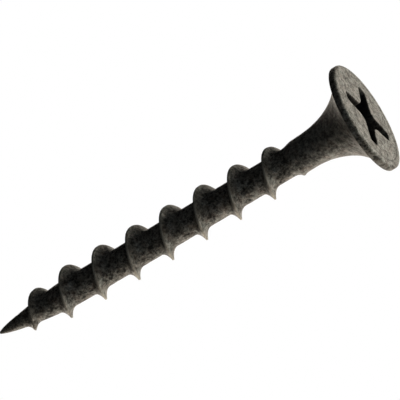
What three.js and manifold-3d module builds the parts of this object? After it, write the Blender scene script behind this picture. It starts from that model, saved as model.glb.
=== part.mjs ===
// Coarse-thread wood screw with a bugle head and a cross recess, forged and rolled from one piece of
// steel wire. Millimetres, +Z up. The origin is the centre of the head's flat top, the axis of the
// screw is Z with the point at the bottom, and the recess's wings lie along X and Y.

import * as THREE from 'three';
import { LoftGeometry } from 'three/addons/geometries/LoftGeometry.js';
import { mergeVertices } from 'three/addons/utils/BufferGeometryUtils.js';
import Module from 'manifold-3d';

const wasm = await Module();
wasm.setup();

// Head. The bugle flare is part of an ellipse that leaves the shank along it and sweeps outwards.
const screwLength = 31.75;
const headRadius = 4.13;
const faceRadius = 3.85;
const faceEdgeDepth = 0.2;
const rimDepth = 0.52;
const flareDepth = 5.2;
const flareSweep = THREE.MathUtils.degToRad(86);

// Shank, root of the thread, and gimlet point
const shankRadius = 1.26;
const rootRadius = 1.055;
const shoulderDepth = 6.2;
const shoulderLength = 1.2;
const pointLength = 5.9;
const pointBluntness = 0.59;

// Thread. Its hand is +1 for a right-hand thread and -1 for a left-hand one. Its flanks are hollow, and
// the one that faces the head is the wider by the lean.
const threadHand = -1;
const threadPitch = 2.918;
const threadRadius = 1.83;
const threadAngle = THREE.MathUtils.degToRad(349);
const threadStart = 1.9;
const threadStartLength = 0.8;
const threadStartHeight = 0.71;
const threadFullAt = 7.0;
const threadRunOut = 7.85;
const threadEnd = 5.65;
const crestHalfWidth = 0.06;
const flankHalfWidth = 0.28;
const footHalfWidth = 0.68;
const flankBend = 0.36;
const flankLean = 0.18;
const footSink = 0.12;
const endSink = 0.03;

// Cross recess. Its wings narrow towards the bottom, and their ends slope inwards.
const recessDepth = 2.9;
const wingDepth = 2.35;
const wingReach = 2.75;
const wingHalfWidth = 0.55;
const wingEndHalfWidth = 0.39;
const wingEndSlope = THREE.MathUtils.degToRad(26.5);
const wingFlankSlope = THREE.MathUtils.degToRad(2.5);
const cornerReach = 0.92;
const recessOverrun = 0.4;

// Facets
const stepsPerTurn = 24;
const headSegments = 40;

const { clamp, lerp, smoothstep } = THREE.MathUtils;

// Radius of the steel inside the thread, at a height below the flare.
function coreRadius(z) {
  const fromPoint = z + screwLength;
  if (fromPoint < pointLength) {
    return rootRadius * (clamp(fromPoint, 0, pointLength) / pointLength) ** pointBluntness;
  }
  const shoulder = smoothstep(z, -shoulderDepth - shoulderLength / 2, -shoulderDepth + shoulderLength / 2);
  return lerp(rootRadius, shankRadius, shoulder);
}

// Outline of half the screw, from the point up to the centre of the head's top.
function bodyOutline() {
  const pointSteps = 8;
  const shoulderSteps = 4;
  const flareSteps = 10;
  const faceEdgeSteps = 3;
  const outline = [];
  for (let i = 0; i <= pointSteps; i++) {
    const z = -screwLength + pointLength * (i / pointSteps) ** 2;
    outline.push(new THREE.Vector2(coreRadius(z), z));
  }
  for (let i = 0; i <= shoulderSteps; i++) {
    const z = -shoulderDepth + shoulderLength * (i / shoulderSteps - 0.5);
    outline.push(new THREE.Vector2(coreRadius(z), z));
  }
  const flareWidth = (headRadius - shankRadius) / (1 - Math.cos(flareSweep));
  const flareHeight = (flareDepth - rimDepth) / Math.sin(flareSweep);
  const flare = new THREE.EllipseCurve(
    shankRadius + flareWidth, -flareDepth, flareWidth, flareHeight, Math.PI, Math.PI - flareSweep, true);
  const faceEdge = new THREE.EllipseCurve(
    faceRadius, -faceEdgeDepth, headRadius - faceRadius, faceEdgeDepth, 0, Math.PI / 2);
  const faceCentre = new THREE.Vector2(0, 0);
  return [...outline, ...flare.getPoints(flareSteps), ...faceEdge.getPoints(faceEdgeSteps), faceCentre];
}

// Height of the thread's crest above the core, growing from the point and fading out at the shank. Both
// ends of the ridge run out just inside the steel.
function threadHeight(z) {
  const fromPoint = z + screwLength;
  const growth = lerp(threadStartHeight, 1, clamp(fromPoint / threadFullAt, 0, 1));
  const start = clamp((fromPoint - threadStart) / threadStartLength, 0, 1);
  const fade = clamp((-threadEnd - z) / (threadRunOut - threadEnd), 0, 1);
  return lerp(-endSink, (threadRadius - rootRadius) * growth, start * fade);
}

// One slice through the thread's ridge, in the plane that holds the axis.
function threadSection(z) {
  const height = threadHeight(z);
  const turn = threadAngle + threadHand * 2 * Math.PI * (z + screwLength) / threadPitch;
  const crest = coreRadius(z) + height;
  const flank = coreRadius(z) + height * flankBend;
  const above = 1 + flankLean;
  const below = 1 - flankLean;
  const slice = [
    [coreRadius(z - footHalfWidth * below) - footSink, -footHalfWidth * below],
    [flank, -flankHalfWidth * below],
    [crest, -crestHalfWidth],
    [crest, crestHalfWidth],
    [flank, flankHalfWidth * above],
    [coreRadius(z + footHalfWidth * above) - footSink, footHalfWidth * above],
  ];
  return slice.map(([r, rise]) => new THREE.Vector3(r * Math.cos(turn), r * Math.sin(turn), z + rise));
}

function threadRidge() {
  const bottom = threadStart - screwLength;
  const steps = Math.ceil((-threadEnd - bottom) / threadPitch * stepsPerTurn);
  const sections = [];
  for (let i = 0; i <= steps; i++) {
    sections.push(threadSection(lerp(bottom, -threadEnd, i / steps)));
  }
  return new LoftGeometry(sections, { capStart: true, capEnd: true });
}

// One level of the recess: a cross whose inner corners are cut off, widest at the head's top.
function recessSection(depth) {
  const reach = wingReach - depth * Math.tan(wingEndSlope);
  const narrowing = depth * Math.tan(wingFlankSlope);
  const half = wingHalfWidth - narrowing;
  const end = wingEndHalfWidth - narrowing;
  const corner = cornerReach - narrowing;
  const section = [];
  for (let wing = 0; wing < 4; wing++) {
    for (const [x, y] of [[corner, -half], [reach, -end], [reach, end], [corner, half]]) {
      const point = new THREE.Vector3(x, y, -depth);
      section.push(point.applyAxisAngle(new THREE.Vector3(0, 0, 1), wing * Math.PI / 2));
    }
  }
  return section;
}

// The recess ends in a blunt pyramid, whose tip is a tenth as wide as the wings' lowest level.
function recess() {
  const tipShare = 0.1;
  const bottom = recessSection(wingDepth).map(
    (point) => point.multiply(new THREE.Vector3(tipShare, tipShare, 1)).setZ(-recessDepth));
  const sections = [bottom, recessSection(wingDepth), recessSection(-recessOverrun)];
  return new LoftGeometry(sections, { capStart: true, capEnd: true });
}

// Closed solid from a geometry, with its doubled vertices joined.
function solidFrom(geometry) {
  const sameVertex = 1e-5;
  const bare = new THREE.BufferGeometry().copy(geometry);
  bare.deleteAttribute('normal');
  bare.deleteAttribute('uv');
  const merged = mergeVertices(bare, sameVertex);
  return new wasm.Manifold(new wasm.Mesh({
    numProp: 3,
    vertProperties: merged.attributes.position.array,
    triVerts: new Uint32Array(merged.index.array),
  }));
}

function geometryFrom(solid) {
  const { vertProperties, triVerts } = solid.getMesh();
  const geometry = new THREE.BufferGeometry();
  geometry.setAttribute('position', new THREE.BufferAttribute(vertProperties, 3));
  geometry.setIndex(new THREE.BufferAttribute(triVerts, 1));
  geometry.computeVertexNormals();
  return geometry;
}

const body = new THREE.LatheGeometry(bodyOutline(), headSegments).rotateX(Math.PI / 2);
const screwSolid = solidFrom(body).add(solidFrom(threadRidge())).subtract(solidFrom(recess()));

const phosphatedSteel = new THREE.MeshStandardMaterial({
  color: 0x35332f,
  roughness: 0.55,
  metalness: 0.35,
});
const screw = new THREE.Mesh(geometryFrom(screwSolid), phosphatedSteel);
screw.name = 'screw';

const woodScrew = new THREE.Group();
woodScrew.add(screw);

export default woodScrew;
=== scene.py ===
import math

import bpy
import numpy as np
from mathutils import Matrix, Vector, noise


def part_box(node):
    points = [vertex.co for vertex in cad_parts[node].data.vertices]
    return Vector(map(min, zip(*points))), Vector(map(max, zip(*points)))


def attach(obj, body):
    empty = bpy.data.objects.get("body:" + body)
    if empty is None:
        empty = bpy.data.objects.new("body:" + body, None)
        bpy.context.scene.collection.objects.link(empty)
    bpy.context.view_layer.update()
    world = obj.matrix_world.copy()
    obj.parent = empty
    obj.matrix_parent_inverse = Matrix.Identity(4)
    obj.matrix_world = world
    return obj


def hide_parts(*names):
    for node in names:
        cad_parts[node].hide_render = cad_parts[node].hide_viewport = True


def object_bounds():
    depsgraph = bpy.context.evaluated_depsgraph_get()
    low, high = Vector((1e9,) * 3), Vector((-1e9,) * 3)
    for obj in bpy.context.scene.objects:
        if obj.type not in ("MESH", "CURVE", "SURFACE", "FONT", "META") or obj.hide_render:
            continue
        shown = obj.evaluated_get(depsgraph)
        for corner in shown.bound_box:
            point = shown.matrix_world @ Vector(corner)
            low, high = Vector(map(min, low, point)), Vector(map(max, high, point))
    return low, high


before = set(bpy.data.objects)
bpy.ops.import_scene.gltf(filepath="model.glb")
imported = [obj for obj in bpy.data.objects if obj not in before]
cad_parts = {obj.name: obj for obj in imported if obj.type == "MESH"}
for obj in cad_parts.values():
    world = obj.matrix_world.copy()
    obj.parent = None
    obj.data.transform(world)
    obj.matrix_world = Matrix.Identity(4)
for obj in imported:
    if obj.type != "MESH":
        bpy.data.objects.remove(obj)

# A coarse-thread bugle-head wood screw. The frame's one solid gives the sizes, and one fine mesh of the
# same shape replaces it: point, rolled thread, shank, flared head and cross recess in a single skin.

MM = 0.001
cad_low, cad_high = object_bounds()
screw_low, screw_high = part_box("screw")
middle = (cad_low + cad_high) / 2

# ---------------------------------------------------------------- sizes, in millimetres and radians

# Head. The coined ring is a faint mark on one side of the face, given as radius and share of its depth.
LENGTH = (screw_high.z - screw_low.z) / MM
HEAD_RADIUS = screw_high.x / MM
FACE_RADIUS = HEAD_RADIUS - 0.28
FACE_EDGE_DEPTH = 0.2
RIM_DEPTH = 0.52
COINED_PROFILE = ((3.66, 0.0), (3.61, 0.5), (3.57, 1.0), (3.53, 0.5), (3.49, 0.0))
COINED_DEPTH = 0.03
COINED_SIDE = math.radians(80)
FLARE_DEPTH = 5.2
FLARE_SWEEP = math.radians(86)

# Shank, root of the thread, and gimlet point
SHANK_RADIUS = 1.26
ROOT_RADIUS = 1.055
SHOULDER_DEPTH = 6.2
SHOULDER_LENGTH = 1.2
POINT_LENGTH = 5.9
POINT_BLUNTNESS = 0.59

# Thread. Its hand is +1 for a right-hand thread and -1 for a left-hand one.
THREAD_HAND = -1
THREAD_PITCH = 2.918
THREAD_RADIUS = 1.83
THREAD_ANGLE = math.radians(349)
THREAD_START = 1.9
THREAD_START_LENGTH = 0.9
THREAD_START_HEIGHT = 0.71
THREAD_FULL_AT = 7.0
THREAD_RUN_OUT = 7.85
THREAD_END = 5.65
CREST_HALF_WIDTH = 0.06
RIDGE_HALF_WIDTH = 0.74
FLANK_HOLLOW = 2.6
FLANK_LEAN = 0.18

# What rolling and forging leave: the thread is shallower on one side and set back where it runs out, and
# the point and the flare lie a little away from that side.
RUN_OUT_SETBACK = 0.15
SHALLOW_BY = 0.07
SHALLOW_SIDE = math.radians(48)
POINT_BEND = 0.05
POINT_BEND_LENGTH = 2.2
FLARE_OFFSET = 0.035

# Cross recess
RECESS_DEPTH = 2.88
WING_DEPTH = 2.35
WING_REACH = 2.73
WING_HALF_WIDTH = 0.56
WING_END_HALF_WIDTH = 0.42
WING_END_SLOPE = math.radians(26.5)
WING_FLANK_SLOPE = math.radians(2.5)
CORNER_REACH = 0.95

# Wear and painted shade run from 0 to 1. Only the recess's walls and floor get as much painted shade as
# its mouth.
FACE_WEAR = 0.1
MOUTH_PAINTED_SHADE = 0.9

# Grid. Its columns stand round the axis, and plain rings make the point up to the cap's height.
COLUMNS = 144
POINT_CAP = 1.6
column_angles = np.arange(COLUMNS) * 2 * math.pi / COLUMNS


# ---------------------------------------------------------------- the screw's surface

def smooth(x):
    t = np.clip(x, 0.0, 1.0)
    return t * t * (3.0 - 2.0 * t)


def core_radius(z):
    """Radius of the steel inside the thread. The point's curve runs softly into the straight root."""
    from_point = np.maximum(np.asarray(z, float) + LENGTH, 0.0)
    softness = 30.0
    point = (from_point / POINT_LENGTH) ** POINT_BLUNTNESS
    root = ROOT_RADIUS * point / (1.0 + point ** softness) ** (1.0 / softness)
    shoulder = smooth((z + SHOULDER_DEPTH) / SHOULDER_LENGTH + 0.5)
    return root + (SHANK_RADIUS - ROOT_RADIUS) * shoulder


def thread_height(z):
    """Height of the crest above the core, growing from the point and fading out at the shank."""
    from_point = z + LENGTH
    grown = np.clip(from_point / THREAD_FULL_AT, 0.0, 1.0)
    growth = THREAD_START_HEIGHT + (1.0 - THREAD_START_HEIGHT) * grown
    start = smooth((from_point - THREAD_START) / THREAD_START_LENGTH)
    fade = np.clip((-THREAD_END - z) / (THREAD_RUN_OUT - THREAD_END), 0.0, 1.0)
    return (THREAD_RADIUS - ROOT_RADIUS) * growth * start * fade


def uneven_height(z, angle):
    """The crest's height on one side of the screw, shallower only where the thread is well formed."""
    height = thread_height(z)
    shallow = SHALLOW_BY * (0.5 + 0.5 * math.cos(angle - SHALLOW_SIDE))
    well_formed = height > 3 * shallow
    return height - shallow * well_formed


def ridge_shape(offset):
    """Height of the ridge, 1 at the crest, at a distance along the axis from the crest's middle."""
    half_width = RIDGE_HALF_WIDTH * (1.0 + FLANK_LEAN * np.sign(offset))
    across = (np.abs(offset) - CREST_HALF_WIDTH) / (half_width - CREST_HALF_WIDTH)
    return (1.0 - np.clip(across, 0.0, 1.0)) ** FLANK_HOLLOW


def flank_rows(half_width):
    """Distances of the grid's rows from the crest's middle, out to half a pitch."""
    rows_on_flank = 11
    rows_on_root = 5
    crowding = 1.5
    inside_crest = CREST_HALF_WIDTH * 0.6
    flank_width = half_width - CREST_HALF_WIDTH
    flank = CREST_HALF_WIDTH + flank_width * np.linspace(0.0, 1.0, rows_on_flank) ** crowding
    root = np.linspace(half_width, THREAD_PITCH / 2, rows_on_root + 1)[1:]
    return np.concatenate([[0.0, inside_crest], flank, root])


def ridge_rows():
    """Places of the grid's rows within one pitch, close together over the crest and the flanks."""
    above = flank_rows(RIDGE_HALF_WIDTH * (1.0 + FLANK_LEAN))
    below = flank_rows(RIDGE_HALF_WIDTH * (1.0 - FLANK_LEAN))
    return np.concatenate([-below[:0:-1], above[:-1]])


# ---------------------------------------------------------------- the mesh

class Skin:
    """Collects the screw's vertices and faces, with how worn each vertex is and how much painted shade it
    gets.
    """

    def __init__(self):
        self.points = []
        self.wear = []
        self.shelter = []
        self.faces = []

    def add(self, point, wear=0.0, shelter=0.0):
        self.points.append(point)
        self.wear.append(wear)
        self.shelter.append(shelter)
        return len(self.points) - 1

    def ring(self, radius, z, wear=0.0):
        return [self.add((radius * math.cos(a), radius * math.sin(a), z), wear) for a in column_angles]

    def loop(self, outline, z, wear=0.0, shelter=0.0):
        return [self.add((x, y, z), wear, shelter) for x, y in outline]

    def band(self, first, second):
        for i in range(COLUMNS):
            j = (i + 1) % COLUMNS
            self.faces.append((first[i], first[j], second[j], second[i]))

    def chain(self, rings):
        for first, second in zip(rings, rings[1:]):
            self.band(first, second)

    def fan(self, tip, ring, upwards):
        for i in range(COLUMNS):
            j = (i + 1) % COLUMNS
            self.faces.append((tip, ring[j], ring[i]) if upwards else (ring[i], ring[j], tip))

    def zip_up(self, left, right):
        """Joins two columns of (key, vertex), level where their keys agree."""
        i = j = 0
        while i < len(left) - 1:
            next_left = left[i + 1][0]
            next_right = right[j + 1][0]
            if next_left == next_right:
                self.faces.append((left[i][1], right[j][1], right[j + 1][1], left[i + 1][1]))
                i += 1
                j += 1
            elif next_left < next_right:
                self.faces.append((left[i][1], right[j][1], left[i + 1][1]))
                i += 1
            else:
                self.faces.append((left[i][1], right[j][1], right[j + 1][1]))
                j += 1


def thread_column(skin, angle, low, high):
    """One column of the thread's vertices, as (key, vertex) from the bottom up."""
    least_gap = 0.03
    wear_sharpness = 4
    rows = ridge_rows()
    turns = np.arange(-2, int((high - low) / THREAD_PITCH) + 4)
    rise = THREAD_HAND * THREAD_PITCH * (angle - THREAD_ANGLE) / (2 * math.pi)
    z = (turns[:, None] * THREAD_PITCH + rows[None, :] + rise - LENGTH).ravel()
    z -= RUN_OUT_SETBACK * smooth((z + THREAD_RUN_OUT) / (THREAD_RUN_OUT - THREAD_END))
    shape = np.tile(ridge_shape(rows), len(turns))
    radius = core_radius(z) + uneven_height(z, angle) * shape
    relative_height = thread_height(z) * shape / (THREAD_RADIUS - ROOT_RADIUS)
    column = []
    for key in np.nonzero((z > low + least_gap) & (z < high - least_gap))[0]:
        point = (radius[key] * math.cos(angle), radius[key] * math.sin(angle), z[key])
        column.append((int(key), skin.add(point, float(relative_height[key]) ** wear_sharpness)))
    return column


def threaded_part(skin, bottom, top, low, high):
    """The rolled thread between two rings. Its rows follow the helix, so that the crest stays sharp."""
    columns = []
    for i, angle in enumerate(column_angles):
        column = thread_column(skin, angle, low, high)
        columns.append([(-math.inf, bottom[i]), *column, (math.inf, top[i])])
    for left, right in zip(columns, columns[1:]):
        skin.zip_up(left, right)
    wrap = -THREAD_HAND * len(ridge_rows())
    first = [(key + wrap if math.isfinite(key) else key, vertex) for key, vertex in columns[0]]
    skin.zip_up(columns[-1], first)


def recess_outline(depth, spread=0.0):
    """The recess's cross at a depth: straight wings with soft corners and cut-off inner corners."""
    reach = WING_REACH - depth * math.tan(WING_END_SLOPE) + spread
    narrowing = depth * math.tan(WING_FLANK_SLOPE) - spread
    half = WING_HALF_WIDTH - narrowing
    end = WING_END_HALF_WIDTH - narrowing
    corner = CORNER_REACH - narrowing
    steps_on_end = 8
    steps_on_flank = 11
    steps_on_corner = COLUMNS // 4 - steps_on_end - 2 * steps_on_flank
    softenings = 3
    stretches = [
        ((corner, -half), (reach, -end), steps_on_flank),
        ((reach, -end), (reach, end), steps_on_end),
        ((reach, end), (corner, half), steps_on_flank),
        ((corner, half), (half, corner), steps_on_corner),
    ]
    wings = [np.concatenate([
        np.linspace(start, stop, steps, endpoint=False) for start, stop, steps in stretches])]
    quarter_turn = np.array([[0.0, 1.0], [-1.0, 0.0]])
    for _ in range(3):
        wings.append(wings[-1] @ quarter_turn)
    outline = np.concatenate(wings)
    for _ in range(softenings):
        outline = (np.roll(outline, 1, 0) + 2.0 * outline + np.roll(outline, -1, 0)) / 4.0
    return np.roll(outline, -(steps_on_flank + steps_on_end // 2), 0)


def point_rings(skin):
    """The gimlet point below the thread, most worn at its tip."""
    steps = 12
    tip_wear = 0.6
    rings = []
    for share in np.linspace(0.0, 1.0, steps + 1)[1:]:
        z = POINT_CAP * share ** 2 - LENGTH
        rings.append(skin.ring(float(core_radius(z)), z, wear=tip_wear * (1.0 - share)))
    return rings


def shank_rings(skin, bottom):
    """The plain shank, from the thread's end up to the flare."""
    steps = 5
    levels = np.linspace(bottom, -FLARE_DEPTH, steps + 1)[:-1]
    return [skin.ring(float(core_radius(z)), z) for z in levels]


def flare_rings(skin):
    """The bugle: a stretch of an ellipse from the shank out to the rim, tucked in at its edge."""
    steps = 25
    tuck = 0.02
    width = (HEAD_RADIUS - SHANK_RADIUS) / (1.0 - math.cos(FLARE_SWEEP))
    height = (FLARE_DEPTH - RIM_DEPTH) / math.sin(FLARE_SWEEP)
    rings = []
    for angle in np.linspace(0.0, FLARE_SWEEP, steps + 1):
        radius = SHANK_RADIUS + width * (1.0 - math.cos(angle))
        if angle == FLARE_SWEEP:
            radius -= tuck
        rings.append(skin.ring(radius, -FLARE_DEPTH + height * math.sin(angle)))
    return rings


def rim_rings(skin):
    """The rim's short upright band, worn at its lower edge, and the round edge of the face."""
    edge_inset = 0.005
    edge_height = 0.03
    edge_wear = 0.2
    band_height = 0.08
    band_rings = 4
    round_steps = 7
    rings = [skin.ring(HEAD_RADIUS - edge_inset, -RIM_DEPTH + edge_height, edge_wear)]
    for depth in np.linspace(RIM_DEPTH - band_height, FACE_EDGE_DEPTH, band_rings):
        rings.append(skin.ring(HEAD_RADIUS, -depth))
    for angle in np.linspace(0.0, math.pi / 2, round_steps + 1)[1:]:
        radius = FACE_RADIUS + (HEAD_RADIUS - FACE_RADIUS) * math.cos(angle)
        rings.append(skin.ring(radius, FACE_EDGE_DEPTH * (math.sin(angle) - 1.0), FACE_WEAR))
    return rings


def coined_loops(skin):
    """The faint coined ring near the face's edge, its groove darkened by painted shade. It fades out a
    little past a quarter turn each way.
    """
    past_quarter_turn = 0.25
    most_painted_shade = 0.8
    marks = np.clip(past_quarter_turn + np.cos(column_angles - COINED_SIDE), 0.0, 1.0)
    loops = []
    for radius, share in COINED_PROFILE:
        loop = []
        for angle, mark in zip(column_angles, marks):
            point = (radius * math.cos(angle), radius * math.sin(angle), -COINED_DEPTH * share * mark)
            loop.append(skin.add(point, wear=FACE_WEAR, shelter=most_painted_shade * share * mark))
        loops.append(loop)
    return loops


def face_loops(skin):
    """The flat face inside the coined ring, which goes out of round to the recess's cross."""
    steps = 14
    recess_edge = recess_outline(0.0, spread=0.07)
    edge_angle = np.unwrap(np.arctan2(recess_edge[:, 1], recess_edge[:, 0]))
    edge_reach = np.hypot(recess_edge[:, 0], recess_edge[:, 1])
    outer_reach = COINED_PROFILE[-1][0]
    loops = []
    for share in np.linspace(0.0, 1.0, steps + 1)[1:]:
        angle = column_angles + (edge_angle - column_angles) * share ** 2
        reach = outer_reach + (edge_reach - outer_reach) * share
        outline = np.stack([reach * np.cos(angle), reach * np.sin(angle)], axis=1)
        loops.append(skin.loop(outline, 0.0, wear=FACE_WEAR))
    return loops


def recess_edge_loops(skin):
    """The recess's soft edge, given as spread and depth, with more painted shade further down."""
    edge = ((0.035, 0.008), (0.012, 0.03), (0.0, 0.07))
    painted_shade_per_mm = 11
    return [
        skin.loop(recess_outline(0.0, spread), -depth, wear=FACE_WEAR, shelter=depth * painted_shade_per_mm)
        for spread, depth in edge]


def recess_loops(skin):
    """The recess's walls and its blunt pyramid of a floor, darkened by painted shade that is fullest on
    the floor.
    """
    wall_top = 0.2
    wall_rings = 12
    floor_steps = 6
    painted_shade_gain = 0.1
    loops = []
    for depth in np.linspace(wall_top, WING_DEPTH, wall_rings):
        # Painted shade deepens down the walls.
        shelter = MOUTH_PAINTED_SHADE + painted_shade_gain * depth / WING_DEPTH
        loops.append(skin.loop(recess_outline(depth), -depth, shelter=shelter))
    floor = recess_outline(WING_DEPTH)
    for share in np.linspace(0.0, 1.0, floor_steps + 1)[1:-1]:
        depth = WING_DEPTH + (RECESS_DEPTH - WING_DEPTH) * share
        loops.append(skin.loop(floor * (1.0 - share), -depth, shelter=1.0))
    return loops


def screw_skin():
    """The whole surface, from the point's tip up over the head and down to the recess's bottom."""
    skin = Skin()
    thread_low = POINT_CAP - LENGTH
    thread_high = -THREAD_END + 0.1
    tip = skin.add((0.0, 0.0, -LENGTH), wear=0.8)
    point = point_rings(skin)
    shank = shank_rings(skin, thread_high)
    skin.fan(tip, point[0], upwards=True)
    skin.chain(point)
    threaded_part(skin, point[-1], shank[0], thread_low, thread_high)
    head = flare_rings(skin) + rim_rings(skin) + coined_loops(skin) + face_loops(skin)
    recess = recess_edge_loops(skin) + recess_loops(skin)
    skin.chain(shank + head + recess)
    bottom = skin.add((0.0, 0.0, -RECESS_DEPTH), shelter=1.0)
    skin.fan(bottom, recess[-1], upwards=False)
    return skin


def off_centre(z):
    """How far the steel lies off the axis, away from the thread's shallow side."""
    below_flare = 0.5
    fade_in = 1.0
    below_face = 0.7
    fade_out = 1.2
    at_point = smooth((POINT_BEND_LENGTH - LENGTH - z) / POINT_BEND_LENGTH)
    on_flare = smooth((z + FLARE_DEPTH + below_flare) / fade_in) * smooth((-below_face - z) / fade_out)
    return POINT_BEND * at_point + FLARE_OFFSET * on_flare


def waviness(place):
    """A coarse and a fine wave, each about a hundredth of a millimetre high."""
    coarse = 0.012 * noise.noise(place * 0.9)
    fine = 0.009 * noise.noise(place * 2.7 + Vector((9, 4, 2)))
    return coarse + fine


def forged(skin):
    """Moves each vertex a few hundredths of a millimetre, as forging, rolling and coating leave it."""
    # The rim only moves inwards and the face only down. The recess's walls and the axis aren't waved.
    rim_from = 3.6
    on_axis = 1e-6
    calm_radius = 0.5
    face_from = -0.15
    face_fade_radius = FACE_RADIUS + 0.1
    face_fade_width = 0.3
    shallow_side = Vector((math.cos(SHALLOW_SIDE), math.sin(SHALLOW_SIDE), 0.0))
    moved = []
    for (x, y, z), shelter in zip(skin.points, skin.shelter):
        place = Vector((x, y, z))
        outwards = Vector((x, y, 0.0))
        radius = outwards.length
        wave = waviness(place)
        if radius > rim_from:
            wave = -abs(wave)
        if z > face_from:
            place.z -= abs(wave) * float(smooth((face_fade_radius - radius) / face_fade_width))
        elif radius > on_axis and shelter < MOUTH_PAINTED_SHADE:
            place += outwards / radius * wave * float(smooth(radius / calm_radius))
        place -= float(off_centre(z)) * shallow_side
        moved.append(place * MM)
    return moved


def make_screw():
    skin = screw_skin()
    mesh = bpy.data.meshes.new("wood_screw")
    mesh.from_pydata(forged(skin), [], skin.faces)
    for name, values in (("wear", skin.wear), ("shelter", skin.shelter)):
        layer = mesh.attributes.new(name, "FLOAT", "POINT")
        layer.data.foreach_set("value", np.clip(np.array(values, dtype=np.float32), 0.0, 1.0))
    mesh.polygons.foreach_set("use_smooth", np.ones(len(mesh.polygons), dtype=bool))
    mesh.validate()
    screw = bpy.data.objects.new("wood_screw", mesh)
    bpy.context.scene.collection.objects.link(screw)
    return screw


# ---------------------------------------------------------------- the material

COAT = (0.008, 0.0078, 0.0072, 1.0)
PALE_COAT = (0.088, 0.083, 0.070, 1.0)
OIL_BROWN = (0.042, 0.031, 0.021, 1.0)
BARE_STEEL = (0.20, 0.19, 0.165, 1.0)
# Black for the pits, and for the painted shade in the recess and the coined ring's groove.
PIT_AND_SHADE_BLACK = (0.006, 0.006, 0.006, 1.0)
GREEN_FILM = (0.93, 1.0, 0.95, 1.0)
BROWN_FILM = (1.0, 0.93, 0.87, 1.0)
WHITE = (1.0, 1.0, 1.0, 1.0)


class Nodes:
    """A short way to write a node tree."""

    def __init__(self, material):
        material.use_nodes = True
        self.tree = material.node_tree
        self.tree.nodes.clear()

    def add(self, kind, values=None, **settings):
        node = self.tree.nodes.new(kind)
        for name, value in settings.items():
            setattr(node, name, value)
        for name, value in (values or {}).items():
            self.feed(node.inputs[name], value)
        return node

    def feed(self, socket, value):
        if isinstance(value, bpy.types.NodeSocket):
            self.tree.links.new(value, socket)
        else:
            socket.default_value = value

    def maths(self, operation, *values, clamp=False):
        node = self.add("ShaderNodeMath", operation=operation, use_clamp=clamp)
        for socket, value in zip(node.inputs, values):
            self.feed(socket, value)
        return node.outputs[0]

    def times(self, first, second):
        return self.maths("MULTIPLY", first, second)

    def plus(self, value, addend, share, clamp=False):
        """The value and a share of the addend."""
        return self.maths("MULTIPLY_ADD", addend, share, value, clamp=clamp)

    def less(self, value, share):
        """The value without a share of itself."""
        return self.times(value, self.maths("SUBTRACT", 1.0, share))

    def band(self, value, low, high):
        """0 below low, 1 above high, and soft between."""
        node = self.add("ShaderNodeMapRange", {
            "Value": value, "From Min": low, "From Max": high}, interpolation_type="SMOOTHSTEP")
        return node.outputs["Result"]

    def mix(self, share, first, second):
        node = self.add("ShaderNodeMix", data_type="RGBA")
        sockets = (node.inputs[0], node.inputs[6], node.inputs[7])
        for socket, value in zip(sockets, (share, first, second)):
            self.feed(socket, value)
        return node.outputs[2]

    def noise(self, vector, scale, detail=3.0, roughness=0.55):
        node = self.add("ShaderNodeTexNoise", {
            "Vector": vector, "Scale": scale, "Detail": detail, "Roughness": roughness})
        return node.outputs["Fac"]

    def attribute(self, name):
        return self.add("ShaderNodeAttribute", attribute_name=name).outputs["Fac"]


class Coating:
    """The patterns that the coating's colour, gloss and relief share. Noise scales are per millimetre."""

    def __init__(self, nodes):
        scaled = nodes.add("ShaderNodeVectorMath", {"Scale": 1.0 / MM}, operation="SCALE")
        nodes.feed(scaled.inputs[0], nodes.add("ShaderNodeTexCoord").outputs["Object"])
        place = scaled.outputs[0]
        self.wear = nodes.attribute("wear")
        # Painted shade: how much the recess and the coined ring's groove are darkened and dulled.
        self.shelter = nodes.attribute("shelter")
        self.crystals = nodes.noise(place, scale=8.0, roughness=0.7)
        self.speckle = nodes.noise(place, scale=5.0, roughness=0.7)
        self.grains = nodes.noise(place, scale=2.2, roughness=0.6)
        self.patches = nodes.noise(place, scale=0.8)
        self.stains = nodes.noise(place, scale=1.9, detail=5.0, roughness=0.65)
        self.blotches = nodes.noise(place, scale=1.3, detail=4.0, roughness=0.6)
        self.bright_speckle = nodes.band(self.speckle, low=0.42, high=0.60)
        self.drawn = self.drawn_steel(nodes, place)
        self.worn = self.worn_edges(nodes)

    def drawn_steel(self, nodes, place):
        """1 on the shank and the flare, between the rolled thread and the rim."""
        height = nodes.add("ShaderNodeSeparateXYZ", {"Vector": place}).outputs["Z"]
        above_thread = nodes.band(height, low=-SHOULDER_DEPTH, high=-FLARE_DEPTH)
        on_rim = nodes.band(height, low=-RIM_DEPTH, high=-FACE_EDGE_DEPTH)
        return nodes.less(above_thread, on_rim)

    def worn_edges(self, nodes):
        """How bare the steel is, grain by grain, where the coating is worn."""
        grainy_wear = nodes.plus(self.wear, self.grains, share=0.9)
        return nodes.times(nodes.band(grainy_wear, low=1.05, high=1.5), 0.6)


def coating_colour(nodes, coating):
    """Dark crystals with paler grains, brown stains, pits, bare edges, and painted shade that blackens
    the recess and the coined ring's groove.
    """
    paleness = nodes.plus(coating.wear, nodes.band(coating.grains, low=0.42, high=0.60), share=0.30)
    paleness = nodes.plus(paleness, coating.bright_speckle, share=0.50)
    pale_patches = nodes.band(coating.patches, low=0.35, high=0.7)
    paleness = nodes.plus(paleness, pale_patches, share=0.20, clamp=True)
    stained = nodes.times(nodes.band(coating.stains, low=0.5, high=0.7), 0.6)
    pitted = nodes.times(nodes.band(coating.crystals, low=0.52, high=0.62), 0.8)
    colour = nodes.mix(paleness, COAT, PALE_COAT)
    colour = nodes.mix(stained, colour, OIL_BROWN)
    colour = nodes.mix(pitted, colour, PIT_AND_SHADE_BLACK)
    colour = nodes.mix(coating.worn, colour, BARE_STEEL)
    # Painted shade: the recess and the coined ring's groove are mixed towards black.
    return nodes.mix(nodes.times(coating.shelter, 0.9), colour, PIT_AND_SHADE_BLACK)


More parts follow.
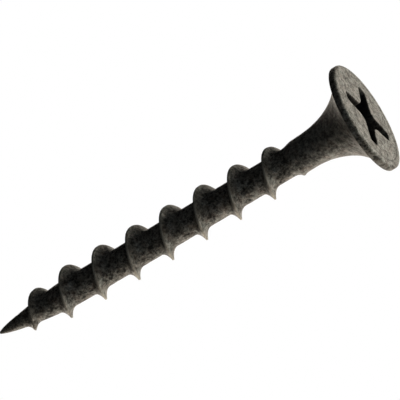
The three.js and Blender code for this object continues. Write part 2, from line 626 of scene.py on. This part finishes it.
def coating_gloss(nodes, coating):
    """Glossy speckle and grains, dulled in blotches, with painted shade taking the gloss out of the
    recess. Drawn steel is more even.
    """
    even_gloss = nodes.plus(0.07, coating.drawn, share=0.15)
    speckle_gloss = nodes.plus(0.58, coating.drawn, share=-0.26)
    dulling = nodes.plus(0.68, coating.drawn, share=-0.25)
    gloss = nodes.plus(even_gloss, coating.bright_speckle, share=speckle_gloss)
    gloss = nodes.plus(gloss, nodes.band(coating.grains, low=0.40, high=0.64), share=0.52)
    gloss = nodes.less(gloss, nodes.times(nodes.band(coating.blotches, low=0.44, high=0.58), dulling))
    # Painted shade: the recess and the coined ring's groove lose their gloss.
    return nodes.less(gloss, nodes.times(coating.shelter, 0.95))


def coating_roughness(nodes, coating):
    """Matt crystals, a little smoother where they are worn."""
    roughness = nodes.plus(0.42, coating.crystals, share=0.25)
    return nodes.plus(roughness, coating.worn, share=-0.12)


def coating_bump(nodes, coating):
    relief = nodes.plus(coating.grains, coating.speckle, share=0.6)
    relief = nodes.plus(relief, coating.crystals, share=0.25)
    bump = nodes.add("ShaderNodeBump", {"Strength": 0.6, "Distance": 0.09 * MM, "Height": relief})
    return bump.outputs["Normal"]


def oil_film(nodes, coating):
    """Tints the gloss from greenish to brown, following the oil stains."""
    return nodes.mix(nodes.band(coating.stains, low=0.40, high=0.60), GREEN_FILM, BROWN_FILM)


def phosphated_steel():
    """Dark zinc-phosphate coating over hardened steel: matt crystals, brown oil stains, bare edges, and
    painted shade in the recess.
    """
    material = bpy.data.materials.new("phosphated_steel")
    nodes = Nodes(material)
    coating = Coating(nodes)
    shader = nodes.add("ShaderNodeBsdfPrincipled", {
        "Base Color": coating_colour(nodes, coating),
        "Roughness": coating_roughness(nodes, coating),
        "Metallic": nodes.plus(0.1, coating.worn, share=0.7),
        "Specular IOR Level": coating_gloss(nodes, coating),
        "Specular Tint": oil_film(nodes, coating),
        "Normal": coating_bump(nodes, coating),
    })
    output = nodes.add("ShaderNodeOutputMaterial")
    nodes.feed(output.inputs["Surface"], shader.outputs["BSDF"])
    return material


# ---------------------------------------------------------------- the stage, in metres and degrees

VIEW_AZIMUTH = 48.0
VIEW_ELEVATION = 18.07
VIEW_DISTANCE = 0.350
SCREW_TILT = 30.66
AIM_ALONG = 2.08 * MM
AIM_ASIDE = -0.933 * MM
LENS = 446.25

AMBIENT = 0.05
WARM = (1.0, 0.90, 0.78)
PALE = (1.0, 0.99, 0.90)
COOL = (0.82, 0.93, 1.0)


def towards(azimuth, elevation):
    """Direction from the screw to a place round it. Azimuth 0 is towards -Y and 90 towards +X."""
    a = math.radians(azimuth)
    e = math.radians(elevation)
    return Vector((math.sin(a) * math.cos(e), -math.cos(a) * math.cos(e), math.sin(e)))


def sweep_profile():
    """Radius and height of the floor and of the cove that curves up into the backdrop."""
    inner_radius = 0.1
    floor_radius = 0.70
    cove_radius = 0.30
    cove_steps = 16
    backdrop_height = 0.9
    profile = [(inner_radius, 0.0), (floor_radius, 0.0)]
    for angle in np.linspace(0.0, math.pi / 2, cove_steps + 1)[1:]:
        reach = floor_radius + cove_radius * math.sin(angle)
        profile.append((reach, cove_radius * (1.0 - math.cos(angle))))
    profile.append((floor_radius + cove_radius, backdrop_height))
    return profile


def sweep_mesh():
    """The sweep, with its middle closed by one face."""
    gap_below_screw = 0.02
    steps = 96
    floor_z = cad_low.z - gap_below_screw
    points = []
    faces = [tuple(range(steps))]
    for row, (radius, rise) in enumerate(sweep_profile()):
        for i in range(steps):
            a = 2 * math.pi * i / steps
            points.append((radius * math.cos(a), radius * math.sin(a), floor_z + rise))
            j = (i + 1) % steps
            if row:
                below = (row - 1) * steps
                faces.append((below + i, row * steps + i, row * steps + j, below + j))
    mesh = bpy.data.meshes.new("floor")
    mesh.from_pydata(points, [], faces)
    mesh.polygons.foreach_set("use_smooth", np.ones(len(mesh.polygons), dtype=bool))
    return mesh


def pale_floor():
    """Plain white that gives its own light, so that no shadow or shade falls on it."""
    material = bpy.data.materials.new("pale_floor")
    nodes = Nodes(material)
    shader = nodes.add("ShaderNodeEmission", {"Color": WHITE, "Strength": 1.0})
    output = nodes.add("ShaderNodeOutputMaterial")
    nodes.feed(output.inputs["Surface"], shader.outputs["Emission"])
    return material


def make_sweep():
    """A pale floor that curves up into a backdrop all round. Only the camera sees it."""
    floor = bpy.data.objects.new("floor", sweep_mesh())
    bpy.context.scene.collection.objects.link(floor)
    floor.visible_diffuse = False
    floor.visible_glossy = False
    floor.visible_shadow = False
    floor.data.materials.append(pale_floor())


def softbox(name, azimuth, elevation, distance, size, radiance, colour):
    """A square soft light that looks at the middle of the screw."""
    light = bpy.data.lights.new(name, "AREA")
    light.shape = "SQUARE"
    light.size = size
    light.energy = math.pi * radiance * size * size
    light.color = colour
    lamp = bpy.data.objects.new(name, light)
    direction = towards(azimuth, elevation)
    lamp.location = middle + direction * distance
    lamp.rotation_euler = direction.to_track_quat("Z", "Y").to_euler()
    lamp.visible_camera = False
    bpy.context.scene.collection.objects.link(lamp)


def make_lights():
    """Light from behind, beside, below and above, and a dim fill from the front."""
    softbox("backdrop_glow", 193, 0, distance=0.20, size=0.62, radiance=2.0, colour=WARM)
    softbox("side_glow", 123, 5, distance=0.25, size=0.25, radiance=1.03, colour=WARM)
    softbox("floor_bounce", 150, -28, distance=0.25, size=0.25, radiance=2.0, colour=WARM)
    softbox("overhead", 200, 60, distance=0.20, size=0.20, radiance=3.6, colour=PALE)
    softbox("left_glow", 240, -50, distance=0.25, size=0.18, radiance=1.4, colour=WARM)
    softbox("fill", 63, 30, distance=0.30, size=0.25, radiance=0.76, colour=COOL)


def make_world():
    world = bpy.data.worlds.new("studio")
    bpy.context.scene.world = world
    world.use_nodes = True
    background = world.node_tree.nodes["Background"]
    background.inputs["Color"].default_value = WHITE
    background.inputs["Strength"].default_value = AMBIENT


def make_camera():
    """Looks a little down onto the head, rolled so that the screw lies aslant with its head up right."""
    back = towards(VIEW_AZIMUTH, VIEW_ELEVATION)
    azimuth = math.radians(VIEW_AZIMUTH)
    level = Vector((math.cos(azimuth), math.sin(azimuth), 0.0))
    along = back.cross(level)
    tilt = math.radians(SCREW_TILT)
    aim = middle + along * AIM_ALONG + level * AIM_ASIDE
    camera = bpy.data.objects.new("camera", bpy.data.cameras.new("camera"))
    camera.location = middle + back * VIEW_DISTANCE
    back = (camera.location - aim).normalized()
    right = along * math.cos(tilt) + level * math.sin(tilt)
    right = (right - back * right.dot(back)).normalized()
    up = back.cross(right)
    camera.rotation_euler = Matrix((right, up, back)).transposed().to_euler()
    camera.data.lens = LENS
    camera.data.clip_start = 0.01
    camera.data.clip_end = 10.0
    bpy.context.scene.collection.objects.link(camera)
    bpy.context.scene.camera = camera


# ---------------------------------------------------------------- the scene

screw = make_screw()
screw.data.materials.append(phosphated_steel())
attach(screw, "root")
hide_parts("screw")

make_sweep()
make_world()
make_lights()
make_camera()
bpy.context.scene.view_settings.view_transform = "Standard"
